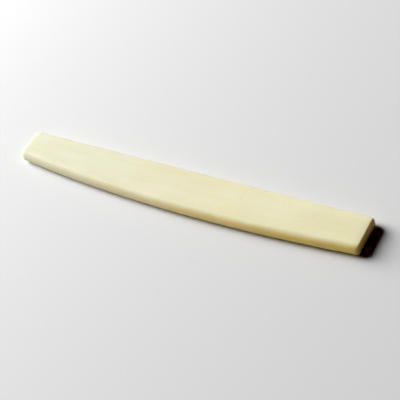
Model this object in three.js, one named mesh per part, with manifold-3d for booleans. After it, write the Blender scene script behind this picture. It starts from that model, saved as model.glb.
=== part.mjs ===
// A bone folder: one flat blade cut from solid bone. One long side is straight, the other is
// gently bowed, both are rounded over, and both ends are cut square.
// Units are millimetres. +X runs along the blade, +Y points to its straight side, and +Z points
// up from the broad face it lies on. The origin is in that face's plane, under the box's centre.
import * as THREE from "three";
import { mergeVertices } from "three/addons/utils/BufferGeometryUtils.js";
import Module from "manifold-3d";

// Driving dimensions.
const LENGTH = 150;
const END_WIDTH = 13.8; // across each square end
const BOW = 3.7; // how far the bowed side swells past its two ends, at mid length
const THICKNESS = 4.4;
const SIDE_INSET = 2.3; // how far in from a long side its rounding reaches on the broad faces
const SIDE_FLAT = 0.3; // height of the upright band left between the two roundings of a side
const END_EASE = 0.3; // radius sanded on the four edges where the broad faces meet the ends
const BOWED_CORNER = 1.5; // corner radius seen from above, on the bowed side
const STRAIGHT_CORNER = 0.9; // the same on the straight side

// Smoothness of the faceted solid.
const BOW_SEGMENTS = 40;
const SIDE_SEGMENTS = 6;
const CORNER_SEGMENTS = 5;

const OVERRUN = 6; // how far the strip and the cutting prisms run past the blade
const SAME_POINT = 1e-4; // points closer than this are one point

// Worked out from the dimensions above.
const STRAIGHT_Y = (END_WIDTH + BOW) / 2;
const BOW_RADIUS = ((LENGTH / 2) ** 2 + BOW ** 2) / (2 * BOW);
const BOW_CENTRE_Y = BOW_RADIUS - STRAIGHT_Y;

const BONE = new THREE.MeshStandardMaterial({ color: 0xe9e2c4, roughness: 0.6, metalness: 0 });

const wasm = await Module();
wasm.setup();

function arc(x, y, radius, start, end, segments) {
  return new THREE.EllipseCurve(x, y, radius, radius, start, end).getPoints(segments);
}

// One closed shape through the arcs in turn, with straight lines between them.
function shapeOf(arcs) {
  const points = arcs.flat();
  const apart = points.filter((point, i) => point.distanceTo(points.at(i - 1)) > SAME_POINT);
  return new THREE.Shape(apart);
}

// The outline seen from above, out to halfLength each way: the straight side, the two ends, and
// the bowed side as one arc, each pair joined by a tangent corner arc.
function planOutline(halfLength, straightCorner, bowedCorner) {
  const straightX = halfLength - straightCorner;
  const straightY = STRAIGHT_Y - straightCorner;
  const bowedX = halfLength - bowedCorner;
  const bowedY = BOW_CENTRE_Y - Math.sqrt((BOW_RADIUS - bowedCorner) ** 2 - bowedX ** 2);
  const turn = Math.atan2(BOW_CENTRE_Y - bowedY, bowedX);
  return shapeOf([
    arc(straightX, straightY, straightCorner, 0, Math.PI / 2, CORNER_SEGMENTS),
    arc(-straightX, straightY, straightCorner, Math.PI / 2, Math.PI, CORNER_SEGMENTS),
    arc(-bowedX, bowedY, bowedCorner, Math.PI, Math.PI + turn, CORNER_SEGMENTS),
    arc(0, BOW_CENTRE_Y, BOW_RADIUS, Math.PI + turn, 2 * Math.PI - turn, BOW_SEGMENTS),
    arc(bowedX, bowedY, bowedCorner, 2 * Math.PI - turn, 2 * Math.PI, CORNER_SEGMENTS),
  ]);
}

// The outline seen from the straight side: the length by the thickness, with eased corners.
function sideOutline() {
  const x = LENGTH / 2 - END_EASE;
  const top = THICKNESS - END_EASE;
  return shapeOf([
    arc(x, top, END_EASE, 0, Math.PI / 2, CORNER_SEGMENTS),
    arc(-x, top, END_EASE, Math.PI / 2, Math.PI, CORNER_SEGMENTS),
    arc(-x, END_EASE, END_EASE, Math.PI, 1.5 * Math.PI, CORNER_SEGMENTS),
    arc(x, END_EASE, END_EASE, 1.5 * Math.PI, 2 * Math.PI, CORNER_SEGMENTS),
  ]);
}

// An over-long strip with both long sides rounded over from broad face to broad face.
function roundedStrip() {
  const rounding = (THICKNESS - SIDE_FLAT) / 2;
  const outline = planOutline(LENGTH / 2 + OVERRUN, OVERRUN / 2, OVERRUN / 2);
  const strip = new THREE.ExtrudeGeometry(outline, {
    depth: SIDE_FLAT,
    bevelThickness: rounding,
    bevelSize: SIDE_INSET,
    bevelOffset: -SIDE_INSET,
    bevelSegments: SIDE_SEGMENTS,
  });
  return strip.translate(0, 0, rounding);
}

// An upright prism on the plan outline: it cuts the strip to length and rounds its corners.
function planPrism() {
  const outline = planOutline(LENGTH / 2, STRAIGHT_CORNER, BOWED_CORNER);
  const prism = new THREE.ExtrudeGeometry(outline, {
    depth: THICKNESS + 2 * OVERRUN,
    bevelEnabled: false,
  });
  return prism.translate(0, 0, -OVERRUN);
}

// A prism across the blade on the side outline: it eases the edges of the two ends.
function sidePrism() {
  const reach = STRAIGHT_Y + OVERRUN;
  const prism = new THREE.ExtrudeGeometry(sideOutline(), {
    depth: 2 * reach,
    bevelEnabled: false,
  });
  return prism.rotateX(Math.PI / 2).translate(0, reach, 0);
}

function toSolid(geometry) {
  const bare = geometry.clone().deleteAttribute("normal").deleteAttribute("uv");
  const merged = mergeVertices(bare, SAME_POINT);
  return new wasm.Manifold(
    new wasm.Mesh({
      numProp: 3,
      vertProperties: merged.attributes.position.array,
      triVerts: new Uint32Array(merged.index.array),
    }),
  );
}

function toGeometry(solid) {
  const mesh = solid.getMesh();
  const geometry = new THREE.BufferGeometry();
  geometry.setAttribute("position", new THREE.BufferAttribute(mesh.vertProperties, 3));
  geometry.setIndex(new THREE.BufferAttribute(mesh.triVerts, 1));
  geometry.computeVertexNormals();
  return geometry;
}

function boneBlade() {
  const blade = toSolid(roundedStrip())
    .intersect(toSolid(planPrism()))
    .intersect(toSolid(sidePrism()));
  const mesh = new THREE.Mesh(toGeometry(blade), BONE);
  mesh.name = "bone_blade";
  return mesh;
}

const boneFolder = new THREE.Group();
boneFolder.add(boneBlade());

export default boneFolder;
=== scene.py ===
"""Looks for the bone folder: a blade of solid bone, lying on pale paper in soft light from one end."""

import math

import bpy
import numpy as np
from mathutils import Matrix, Vector, noise


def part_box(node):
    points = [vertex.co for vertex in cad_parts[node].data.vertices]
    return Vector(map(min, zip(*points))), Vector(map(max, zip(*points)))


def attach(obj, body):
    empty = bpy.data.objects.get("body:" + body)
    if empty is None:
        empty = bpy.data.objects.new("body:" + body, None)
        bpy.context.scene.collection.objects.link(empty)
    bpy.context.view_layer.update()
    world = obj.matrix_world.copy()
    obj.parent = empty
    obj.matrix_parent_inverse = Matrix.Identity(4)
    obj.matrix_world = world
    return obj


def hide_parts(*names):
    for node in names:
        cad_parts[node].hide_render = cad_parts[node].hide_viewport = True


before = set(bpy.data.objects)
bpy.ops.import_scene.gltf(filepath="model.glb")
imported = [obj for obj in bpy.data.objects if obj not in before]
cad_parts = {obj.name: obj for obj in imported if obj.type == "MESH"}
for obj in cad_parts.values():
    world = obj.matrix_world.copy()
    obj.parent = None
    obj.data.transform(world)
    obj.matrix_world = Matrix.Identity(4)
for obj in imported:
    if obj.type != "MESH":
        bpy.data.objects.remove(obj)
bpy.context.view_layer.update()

MM = 0.001

# The blade. Its length, width and thickness come from the CAD node.
LOW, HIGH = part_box("bone_blade")
HALF_LENGTH = HIGH.x
STRAIGHT_Y = HIGH.y
THICKNESS = HIGH.z - LOW.z
BOW = 3.7 * MM
BOW_RADIUS = (HALF_LENGTH**2 + BOW**2) / (2 * BOW)
STRAIGHT_INSET = 2.3 * MM  # how far in from the straight side its rounding reaches on the upper face
STRAIGHT_POWER = 2.1  # 2 makes the rounding an ellipse, more makes it squarer, less makes it flatter
BOWED_INSET = 2.4 * MM  # the same two for the bowed side
BOWED_POWER = 1.61
UNDER_SHARE = 0.78  # how far in the roundings reach on the lower face, against on the upper one
WIDEST = 0.46  # height of the widest line of the sides, as a share of the thickness
END_EASE = 0.25 * MM  # radius between the broad faces and the ends
BOWED_CORNERS = {-1: 1.7 * MM, 1: 1.2 * MM}  # radius between the bowed side and the left and right end
STRAIGHT_CORNER = 0.9 * MM  # radius between the straight side and either end

# How finely it is meshed.
STATIONS = 300
FACE_COLUMNS = 28
SIDE_STEPS = 20
EASE_STEPS = 7
END_ROWS = 8

# What shaping by hand leaves.
SINK = 0.06 * MM  # depth of the shallow hollows in the surface
CREASE_WANDER = 0.22 * MM  # how far the edge of the rounding strays along each side
CREASE_WAVES = (
    # length along the blade, share, phase
    (31 * MM, 0.5, 0.0),
    (13 * MM, 0.3, 2.1),
    (5.7 * MM, 0.15, 4.4),
)
STRAIGHT_PHASE = 1.0  # where each side starts in those waves
BOWED_PHASE = 3.6
HOLLOW_LENGTH = 19 * MM  # size of one hollow along and across the blade
HOLLOW_WIDTH = 8 * MM
SIDE_MARKS = (
    # place along the bowed side, height above the paper, length, width, depth
    (-2.5 * MM, 3.4 * MM, 1.5 * MM, 0.35 * MM, 0.06 * MM),
    (21.4 * MM, 3.5 * MM, 1.0 * MM, 0.5 * MM, 0.10 * MM),
    (52.0 * MM, 2.6 * MM, 1.3 * MM, 0.5 * MM, 0.05 * MM),
    (-47.0 * MM, 2.2 * MM, 1.2 * MM, 0.5 * MM, 0.05 * MM),
)

# Bone: its colours. A tint multiplies what is under it.
# The left end, nearest the lamp, is coloured darker: painted shade that evens out the lamp's falloff along
# the blade.
BONE_LEFT_SHADED = (0.775, 0.767, 0.588, 1)
BONE_RIGHT = (0.945, 0.903, 0.634, 1)
CLOUD_TINT = (0.97, 0.955, 0.90, 1)  # in cloudy patches
# Painted shade: a warm, darker tone on the long sides, most on the bowed side and towards the right end,
# away from the light.
SIDE_SHADE_TINT = (1.09, 0.835, 0.40, 1)  # on the long sides, in full on the bowed one at its right end
SIDE_SHADE_LEFT = 0.12  # how much of that tint is there at the left end
SIDE_SHADE_STRAIGHT = 0.3  # and on the straight side
END_TINT_LEFT = (0.70, 0.64, 0.50, 1)  # on the cut ends
# Painted shade: the right end, which faces away from the light, goes deep brown.
END_SHADE_TINT_RIGHT = (0.83, 0.555, 0.28, 1)
PORE_TINT = (0.62, 0.52, 0.36, 1)  # in the pores and between the fibres
FIBRE_SHARE = 0.06  # how much of that tint the fibres and the pores take
PORE_SHARE = 0.25

# Bone: its pattern. The lengths of a noise are along and across the grain, then comes its detail.
CLOUDS = (34 * MM, 7 * MM, 3.0)
FIBRES = (11 * MM, 0.3 * MM, 4.0)
POLISH = (18 * MM, 2.5 * MM, 3.0)
SCRAPE_RELIEF = (26 * MM, 0.16 * MM, 3.0)
FIBRE_RELIEF = (6 * MM, 0.5 * MM, 2.0)
PORE_LENGTH = 2.6 * MM
PORE_SPACING = 0.42 * MM
RELIEF_DEPTH = 0.012 * MM
RELIEF_STRENGTH = 0.6

# Bone: its surface and how light travels in it.
BONE_ROUGHNESS = 0.7
POLISH_RANGE = 0.08  # how far the roughness strays either way
BONE_IOR = 1.54
BONE_SPECULAR = 0.4
GLOW_RADIUS = (1.0, 0.91, 0.56)  # how far red, green and blue light travel inside, against each other
GLOW_SCALE = 1.6 * MM

# Paper, light and picture.
PAPER_GREY = (0.8, 0.8, 0.8, 1)
PAPER_ROUGHNESS = 0.9
PAPER_SPECULAR = 0.2
PAPER_RADIUS = 0.8
LIGHT_AZIMUTH = -95.5
LIGHT_ELEVATION = 30
LIGHT_DISTANCE = 1.3
LIGHT_WIDTH = 0.95
LIGHT_HEIGHT = 1.25
LIGHT_POWER = 26.3
LIGHT_SPREAD = 150.0
BACKDROP_GREY = (0.72, 0.72, 0.72, 1)
BLACK = (0.014, 0.011, 0.0075)  # the brightness that the picture shows as black
CONTRAST = 0.95

# Camera.
LENS = 78.3
AIM = Vector((10.7, -0.29, 0.0)) * MM
CAMERA_DISTANCE = 307.7 * MM
CAMERA_AZIMUTH = 53.34
CAMERA_ELEVATION = 46.52
CAMERA_ROLL = 28.7
CAMERA_NEAR = 0.01
CAMERA_FAR = 20


def direction(azimuth, elevation):
    """Unit vector to a place seen from the origin, in degrees; azimuth 0 is at -Y and 90 at +X."""
    turn, rise = math.radians(azimuth), math.radians(elevation)
    return Vector((math.sin(turn) * math.cos(rise), -math.cos(turn) * math.cos(rise), math.sin(rise)))


def link(thing):
    bpy.context.scene.collection.objects.link(thing)
    return thing


# ---- the blade's shape ----


def bowed_y(x):
    return BOW_RADIUS + LOW.y - np.sqrt(BOW_RADIUS**2 - x**2)


def wander(x, phase):
    """A smooth stray line between about -1 and 1 along the blade."""
    total = 0
    for length, share, shift in CREASE_WAVES:
        total = total + share * np.sin(2 * math.pi * x / length + phase + shift)
    return total


def side_profile(power):
    """Half of a rounded side, from its widest line to a broad face: how far in and how far up, 0 to 1."""
    angles = np.linspace(0, math.pi / 2, SIDE_STEPS + 1)
    return 1 - np.cos(angles) ** (2 / power), np.sin(angles) ** (2 / power)


def section_plan():
    """The closed cross-section and its core, from the straight side over the top to the bowed side and back.

    Their rows are the share of the way across, of the side's inset, and of the thickness. The core is where
    the roundings have their centres.
    """
    straight_in, straight_up = side_profile(STRAIGHT_POWER)
    bowed_in, bowed_up = side_profile(BOWED_POWER)
    across = np.linspace(0, 1, FACE_COLUMNS + 1)[1:-1]
    level = np.ones_like(across)
    share = np.concatenate([0 * straight_in, across, 0 * bowed_in + 1])
    inset = np.concatenate([straight_in, level, bowed_in[::-1]])
    rise = np.concatenate([straight_up, level, bowed_up[::-1]])
    reach = np.ones_like(share)
    top = [share, inset, WIDEST + (1 - WIDEST) * rise]
    under = [share, UNDER_SHARE * inset, WIDEST * (1 - rise)]
    top_core = [share, reach, WIDEST * reach]
    under_core = [share, UNDER_SHARE * reach, WIDEST * reach]
    back = slice(-2, 0, -1)
    plan = np.hstack([np.vstack(top), np.vstack(under)[:, back]])
    core = np.hstack([np.vstack(top_core), np.vstack(under_core)[:, back]])
    return plan, core


PLAN, CORE = section_plan()


def section(x, plan=PLAN):
    """Points of the cross-section, or of its core, each at its own x."""
    share, inset, height = plan
    straight = STRAIGHT_Y - inset * (STRAIGHT_INSET + CREASE_WANDER * wander(x, STRAIGHT_PHASE))
    bowed = bowed_y(x) + inset * (BOWED_INSET + CREASE_WANDER * wander(x, BOWED_PHASE))
    y = straight + share * (bowed - straight)
    return np.column_stack([x, y, THICKNESS * height])


def eased_rings(end):
    """Rings that round the sides and faces over into an end; end is 1 at the right and -1 at the left."""
    on_straight = PLAN[0] < 0.5
    sideness = 1 - PLAN[1] / CORE[1]  # 1 on the widest line of a side, 0 on the broad faces
    corner = np.where(on_straight, STRAIGHT_CORNER, BOWED_CORNERS[end])
    radius = END_EASE + (corner - END_EASE) * sideness
    start = end * (HALF_LENGTH - radius)
    upward = section(start)[:, 2] - section(start, CORE)[:, 2]
    inward = np.zeros((len(start), 3))
    inward[:, 1] = np.where(on_straight, -1, 1) * corner * sideness
    inward[:, 2] = -END_EASE * np.sign(upward) * (1 - sideness)
    rings = []
    for angle in np.linspace(0, math.pi / 2, EASE_STEPS + 1):
        x = end * (HALF_LENGTH - radius * (1 - math.sin(angle)))
        rings.append(section(x) + inward * (1 - math.cos(angle)))
    return rings


def blade_rings():
    reach = HALF_LENGTH - 1.4 * max(BOWED_CORNERS.values())
    body = [section(np.full(PLAN.shape[1], x)) for x in np.linspace(-reach, reach, STATIONS + 1)]
    return eased_rings(-1)[::-1] + body + eased_rings(1)


def end_face(ring, base, points):
    """Faces that close one end, in columns from the upper to the lower half of its ring.

    The new points inside the ring are added to points, and base is the index of the ring's first point.
    """
    half = len(ring) // 2
    columns = [[base] * (END_ROWS + 1)]
    for i in range(1, half):
        upper, lower = ring[i], ring[-i]
        column = [base + i]
        for row in range(1, END_ROWS):
            column.append(len(points))
            points.append(upper + (lower - upper) * row / END_ROWS)
        columns.append(column + [base + len(ring) - i])
    columns.append([base + half] * (END_ROWS + 1))
    faces = []
    for near, far in zip(columns, columns[1:]):
        for row in range(END_ROWS):
            corners = [near[row + 1], near[row], far[row], far[row + 1]]
            faces.append(list(dict.fromkeys(corners)))
    return faces


def blade_mesh():
    rings = blade_rings()
    size = len(rings[0])
    points = [point for ring in rings for point in ring]
    faces = []
    for start in range(0, (len(rings) - 1) * size, size):
        for i in range(size):
            j = (i + 1) % size
            faces.append([start + j, start + size + j, start + size + i, start + i])
    last = (len(rings) - 1) * size
    faces += [face[::-1] for face in end_face(rings[0], 0, points)]
    faces += end_face(rings[-1], last, points)
    mesh = bpy.data.meshes.new("blade")
    mesh.from_pydata([tuple(point) for point in points], [], faces)
    mesh.update()
    return mesh


def mark_depth(point):
    """How deep the small nicks in the bowed side go at a point."""
    depth = 0.0
    if point.y < 0:
        for x, z, length, width, deep in SIDE_MARKS:
            apart = ((point.x - x) / length) ** 2 + ((point.z - z) / width) ** 2
            depth += deep * math.exp(-apart)
    return depth


def hand_finish(mesh):
    """Sinks the surface here and there inside its true shape, as scraping, rubbing and use leave it."""
    normals = [vertex.normal.copy() for vertex in mesh.vertices]
    for vertex, normal in zip(mesh.vertices, normals):
        place = vertex.co
        where = Vector((place.x / HOLLOW_LENGTH, place.y / HOLLOW_WIDTH, place.z / HOLLOW_WIDTH))
        depth = SINK * (0.5 + 0.5 * noise.noise(where)) + mark_depth(place)
        vertex.co = place - normal * max(depth, 0.0)
    mesh.update()


# ---- materials ----


def add(tree, kind, inputs=(), **settings):
    """A node with its settings and inputs filled in; an input given an output socket is linked to it."""
    node = tree.nodes.new(kind)
    for name, value in settings.items():
        setattr(node, name, value)
    for name, value in dict(inputs).items():
        if isinstance(value, bpy.types.NodeSocket):
            tree.links.new(value, node.inputs[name])
        else:
            node.inputs[name].default_value = value
    return node


def grain_space(tree, along, across):
    """Coordinates in which one unit is this far along and across the bone's grain."""
    place = add(tree, "ShaderNodeTexCoord").outputs["Object"]
    scale = (1 / along, 1 / across, 1 / across)
    return add(tree, "ShaderNodeVectorMath", {0: place, 1: scale}, operation="MULTIPLY").outputs[0]


def grain_noise(tree, along, across, detail):
    space = grain_space(tree, along, across)
    return add(tree, "ShaderNodeTexNoise", {"Vector": space, "Scale": 1.0, "Detail": detail}).outputs["Fac"]


def spread(tree, value, low, high, to_low=0.0, to_high=1.0):
    """value between low and high, moved to the range from to_low to to_high and held inside it."""
    inputs = {"Value": value, "From Min": low, "From Max": high, "To Min": to_low, "To Max": to_high}
    return add(tree, "ShaderNodeMapRange", inputs, interpolation_type="SMOOTHSTEP").outputs["Result"]


def blend_colours(tree, share, first, second, kind="MIX"):
    node = add(tree, "ShaderNodeMix", data_type="RGBA", blend_type=kind)
    for name, value in (("Factor_Float", share), ("A_Color", first), ("B_Color", second)):
        socket = next(s for s in node.inputs if s.identifier == name)
        if isinstance(value, bpy.types.NodeSocket):
            tree.links.new(value, socket)
        else:
            socket.default_value = value
    return next(s for s in node.outputs if s.identifier == "Result_Color")


def maths(tree, operation, first, second):
    return add(tree, "ShaderNodeMath", {0: first, 1: second}, operation=operation).outputs[0]


def bone_pores(tree):
    """Short fine canals along the grain: 1 inside one, 0 outside. Across the grain they show as dots."""
    space = grain_space(tree, PORE_LENGTH, PORE_SPACING)
    cells = add(tree, "ShaderNodeTexVoronoi", {"Vector": space, "Scale": 1.0})
    inside = spread(tree, cells.outputs["Distance"], 0.30, 0.12)
    chosen = add(tree, "ShaderNodeSeparateColor", {"Color": cells.outputs["Color"]}).outputs["Red"]
    return maths(tree, "MULTIPLY", inside, spread(tree, chosen, 0.66, 0.9))


def side_shade_share(tree, facing, deeper, endness):
    """How strongly a place takes the painted shade on the long sides."""
    steepness = spread(tree, maths(tree, "ABSOLUTE", facing.outputs["Z"], 0.0), 0.985, 0.6)
    bowed = spread(tree, facing.outputs["Y"], 0.1, -0.1, SIDE_SHADE_STRAIGHT, 1.0)
    on_side = maths(tree, "MULTIPLY", maths(tree, "MULTIPLY", steepness, bowed), deeper)
    return maths(tree, "MULTIPLY", on_side, maths(tree, "SUBTRACT", 1.0, endness))


def bone_colour(tree, pores):
    coordinates = add(tree, "ShaderNodeTexCoord")
    x = add(tree, "ShaderNodeSeparateXYZ", {0: coordinates.outputs["Object"]}).outputs["X"]
    facing = add(tree, "ShaderNodeSeparateXYZ", {0: coordinates.outputs["Normal"]})
    rightness = spread(tree, x, -HALF_LENGTH, HALF_LENGTH)
    deeper = spread(tree, x, -HALF_LENGTH, HALF_LENGTH, SIDE_SHADE_LEFT, 1.0)
    endness = spread(tree, maths(tree, "ABSOLUTE", facing.outputs["X"], 0.0), 0.35, 0.9)
    tints = (
        (spread(tree, grain_noise(tree, *CLOUDS), 0.35, 0.65), CLOUD_TINT),
        # painted shade on the long sides
        (side_shade_share(tree, facing, deeper, endness), SIDE_SHADE_TINT),
        # the tint of the cut ends, turning into painted shade towards the right end
        (endness, blend_colours(tree, rightness, END_TINT_LEFT, END_SHADE_TINT_RIGHT)),
        (spread(tree, grain_noise(tree, *FIBRES), 0.3, 0.7, 0.0, FIBRE_SHARE), PORE_TINT),
        (maths(tree, "MULTIPLY", pores, PORE_SHARE), PORE_TINT),
    )
    # bone colour, with painted shade towards the left end
    colour = blend_colours(tree, rightness, BONE_LEFT_SHADED, BONE_RIGHT)
    for share, tint in tints:
        colour = blend_colours(tree, share, colour, tint, "MULTIPLY")
    return colour


def bone_relief(tree, pores):
    """Height of the surface's fine detail: scraping lines along the blade, less the pores."""
    scrape = grain_noise(tree, *SCRAPE_RELIEF)
    fibres = grain_noise(tree, *FIBRE_RELIEF)
    raised = maths(tree, "ADD", maths(tree, "MULTIPLY", scrape, 0.35), maths(tree, "MULTIPLY", fibres, 0.5))
    return maths(tree, "SUBTRACT", raised, maths(tree, "MULTIPLY", pores, 0.8))


def bone_material():
    material = bpy.data.materials.new("bone")
    material.use_nodes = True
    tree = material.node_tree
    shader = tree.nodes["Principled BSDF"]
    pores = bone_pores(tree)
    relief = {"Height": bone_relief(tree, pores), "Distance": RELIEF_DEPTH, "Strength": RELIEF_STRENGTH}
    polish = grain_noise(tree, *POLISH)
    smoothest, roughest = BONE_ROUGHNESS - POLISH_RANGE, BONE_ROUGHNESS + POLISH_RANGE
    roughness = spread(tree, polish, 0.3, 0.7, smoothest, roughest)
    tree.links.new(bone_colour(tree, pores), shader.inputs["Base Color"])
    tree.links.new(roughness, shader.inputs["Roughness"])
    tree.links.new(add(tree, "ShaderNodeBump", relief).outputs["Normal"], shader.inputs["Normal"])
    shader.inputs["IOR"].default_value = BONE_IOR
    shader.inputs["Specular IOR Level"].default_value = BONE_SPECULAR
    shader.inputs["Subsurface Weight"].default_value = 1.0
    shader.inputs["Subsurface Radius"].default_value = GLOW_RADIUS
    shader.inputs["Subsurface Scale"].default_value = GLOW_SCALE
    return material


def paper_material():
    material = bpy.data.materials.new("paper")
    material.use_nodes = True
    shader = material.node_tree.nodes["Principled BSDF"]
    shader.inputs["Base Color"].default_value = PAPER_GREY
    shader.inputs["Roughness"].default_value = PAPER_ROUGHNESS
    shader.inputs["Specular IOR Level"].default_value = PAPER_SPECULAR
    return material


# ---- the scene ----


def make_camera():
    data = bpy.data.cameras.new("camera")
    data.lens = LENS
    data.clip_start, data.clip_end = CAMERA_NEAR, CAMERA_FAR
    camera = link(bpy.data.objects.new("camera", data))
    back = direction(CAMERA_AZIMUTH, CAMERA_ELEVATION)
    roll = Matrix.Rotation(math.radians(-CAMERA_ROLL), 3, "Z").to_quaternion()
    camera.location = AIM + back * CAMERA_DISTANCE
    camera.rotation_mode = "QUATERNION"
    camera.rotation_quaternion = (-back).to_track_quat("-Z", "Y") @ roll
    bpy.context.scene.camera = camera


def make_blade():
    mesh = blade_mesh()
    hand_finish(mesh)
    mesh.shade_smooth()
    mesh.materials.append(bone_material())
    piece = link(bpy.data.objects.new("bone_folder_blade", mesh))
    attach(piece, "root")
    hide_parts("bone_blade")


def make_paper():
    bpy.ops.mesh.primitive_circle_add(vertices=128, radius=PAPER_RADIUS, fill_type="NGON")
    paper = bpy.context.object
    paper.name = "paper"
    paper.data.materials.append(paper_material())


def make_window():
    """One soft light, low beyond the left end."""
    lamp = bpy.data.lights.new("window", "AREA")
    lamp.shape = "ELLIPSE"
    lamp.size, lamp.size_y = LIGHT_WIDTH, LIGHT_HEIGHT
    lamp.energy = LIGHT_POWER
    light = link(bpy.data.objects.new("window", lamp))
    back = direction(LIGHT_AZIMUTH, LIGHT_ELEVATION)
    light.location = back * LIGHT_DISTANCE
    light.rotation_mode = "QUATERNION"
    light.rotation_quaternion = (-back).to_track_quat("-Z", "Y")
    lamp.spread = math.radians(LIGHT_SPREAD)
    light.visible_camera = False


def make_backdrop():
    """A plain pale backdrop that is seen past the paper's edge and lights nothing."""
    world = bpy.data.worlds.new("backdrop")
    bpy.context.scene.world = world
    world.use_nodes = True
    world.node_tree.nodes["Background"].inputs["Color"].default_value = BACKDROP_GREY
    world.cycles_visibility.diffuse = False
    world.cycles_visibility.glossy = False
    world.cycles_visibility.transmission = False
    world.cycles_visibility.scatter = False


def set_picture():
    """Deepens the darks a little."""
    view = bpy.context.scene.view_settings
    view.view_transform = "Standard"
    view.gamma = CONTRAST
    view.use_curve_mapping = True
    view.curve_mapping.black_level = BLACK
    view.curve_mapping.update()


make_camera()
make_blade()
make_paper()
make_window()
make_backdrop()
set_picture()
